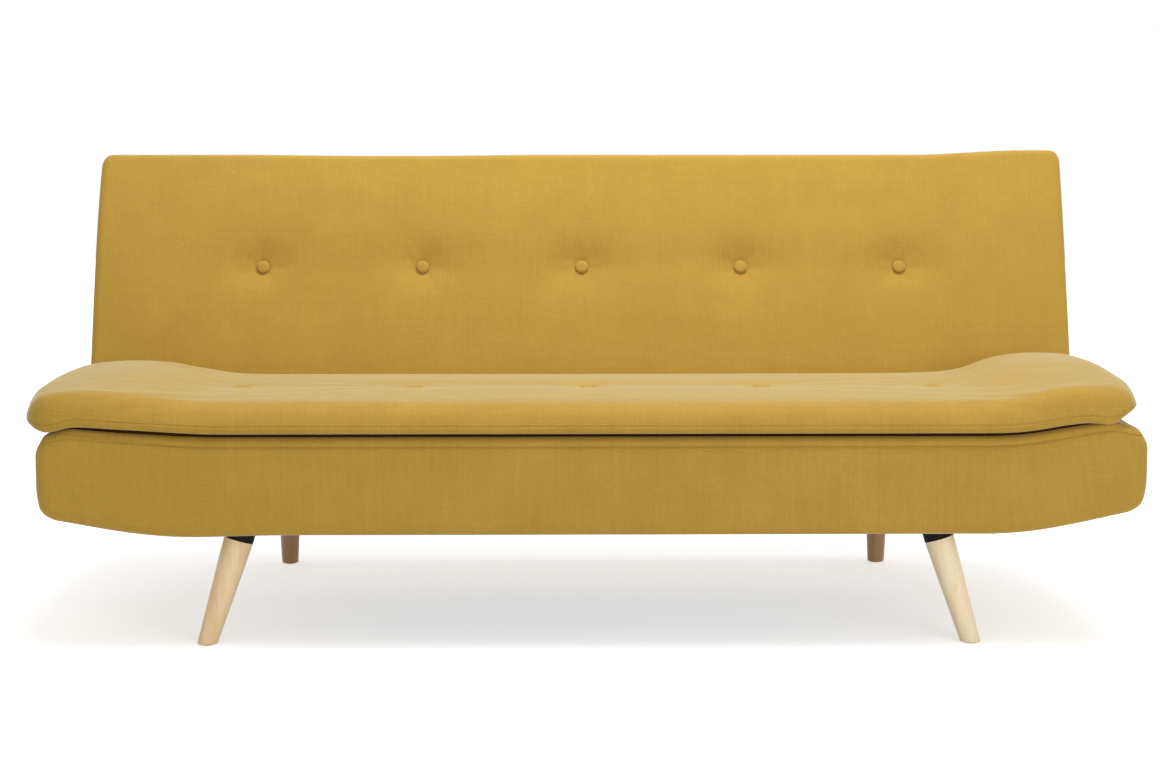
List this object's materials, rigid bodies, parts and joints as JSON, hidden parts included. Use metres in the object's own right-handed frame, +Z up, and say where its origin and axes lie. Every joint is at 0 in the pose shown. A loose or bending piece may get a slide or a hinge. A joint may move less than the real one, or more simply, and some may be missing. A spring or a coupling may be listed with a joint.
{
  "type": "click-clack sofa bed",
  "caption": "Armless upholstered sofa bed on splayed wooden legs, with a buttoned back that reclines flat and seat ends that raise",
  "frame": {"origin": "on the floor, below the middle of the sofa as it stands upright", "axes": "+X along the seat, to the right as seen from the front, +Y from the front of the seat to its back, +Z up"},
  "size_m": [1.8, 0.79, 0.7998],
  "materials": {
    "mustard_fabric": "matte",
    "leg_wood": "satin",
    "frame_wood": "matte",
    "hardboard": "matte",
    "black_collar": "satin",
    "glide_plastic": "matte",
    "black_steel": "satin",
    "zinc_steel": "satin",
    "foam": "matte",
    "dust_cloth": "matte",
    "webbing": "matte",
    "twine": "matte"
  },
  "bodies": {
    "seat": {"base_cover": "mustard_fabric", "base_foam": "foam", "dust_cover": "dust_cloth", "end_hinge_fixed_leaves": "black_steel", "foot_glides": "glide_plastic", "front_leg_left": "leg_wood", "front_leg_right": "leg_wood", "hinge_bracket_left": "black_steel", "hinge_bracket_right": "black_steel", "hinge_bracket_screws": "zinc_steel", "left_fold_foam": "foam", "leg_bolts": "zinc_steel", "leg_collars": "black_collar", "leg_inserts": "zinc_steel", "rear_cross_rail": "frame_wood", "rear_leg_left": "leg_wood", "rear_leg_right": "leg_wood", "right_fold_foam": "foam", "seat_button_ties": "twine", "seat_buttons": "mustard_fabric", "seat_cross_members": "frame_wood", "seat_front_rail": "frame_wood", "seat_pad": "mustard_fabric", "seat_rear_rail": "frame_wood", "seat_side_members": "frame_wood", "seat_springs": "zinc_steel", "spring_clips": "zinc_steel", "support_rail_left": "frame_wood", "support_rail_right": "frame_wood"},
    "backrest": {"back_bottom_rails": "frame_wood", "back_button_ties": "twine", "back_buttons": "mustard_fabric", "back_centre_stile": "frame_wood", "back_cover": "mustard_fabric", "back_end_stiles": "frame_wood", "back_foam": "foam", "back_hinge_stiles": "frame_wood", "back_rear_panel": "hardboard", "back_top_rail": "frame_wood", "back_webbing": "webbing", "hinge_arm_left": "black_steel", "hinge_arm_right": "black_steel", "hinge_arm_screws": "zinc_steel", "pivot_pins": "zinc_steel"},
    "left_end": {"left_end_cover": "mustard_fabric", "left_end_crosspieces": "frame_wood", "left_end_deck": "frame_wood", "left_end_foam": "foam", "left_end_hinge_leaves": "black_steel", "left_end_hinge_pins": "zinc_steel", "left_end_pad": "mustard_fabric", "left_end_side_boards": "frame_wood"},
    "right_end": {"right_end_cover": "mustard_fabric", "right_end_crosspieces": "frame_wood", "right_end_deck": "frame_wood", "right_end_foam": "foam", "right_end_hinge_leaves": "black_steel", "right_end_hinge_pins": "zinc_steel", "right_end_pad": "mustard_fabric", "right_end_side_boards": "frame_wood"}
  },
  "joints": [
    {"name": "back_recline", "type": "hinge", "parent": "seat", "child": "backrest", "pos_m": [0, 0.18133, 0.334], "axis": [-1, 0, 0], "range_deg": [-8, 72.5]},
    {"name": "left_end_tilt", "type": "hinge", "parent": "seat", "child": "left_end", "pos_m": [-0.66, 0, 0.24], "axis": [0, 1, 0], "range_deg": [-9, 36], "deforming": ["left_fold_foam"]},
    {"name": "right_end_tilt", "type": "hinge", "parent": "seat", "child": "right_end", "pos_m": [0.66, 0, 0.24], "axis": [0, -1, 0], "range_deg": [-9, 36], "deforming": ["right_fold_foam"]}
  ]
}
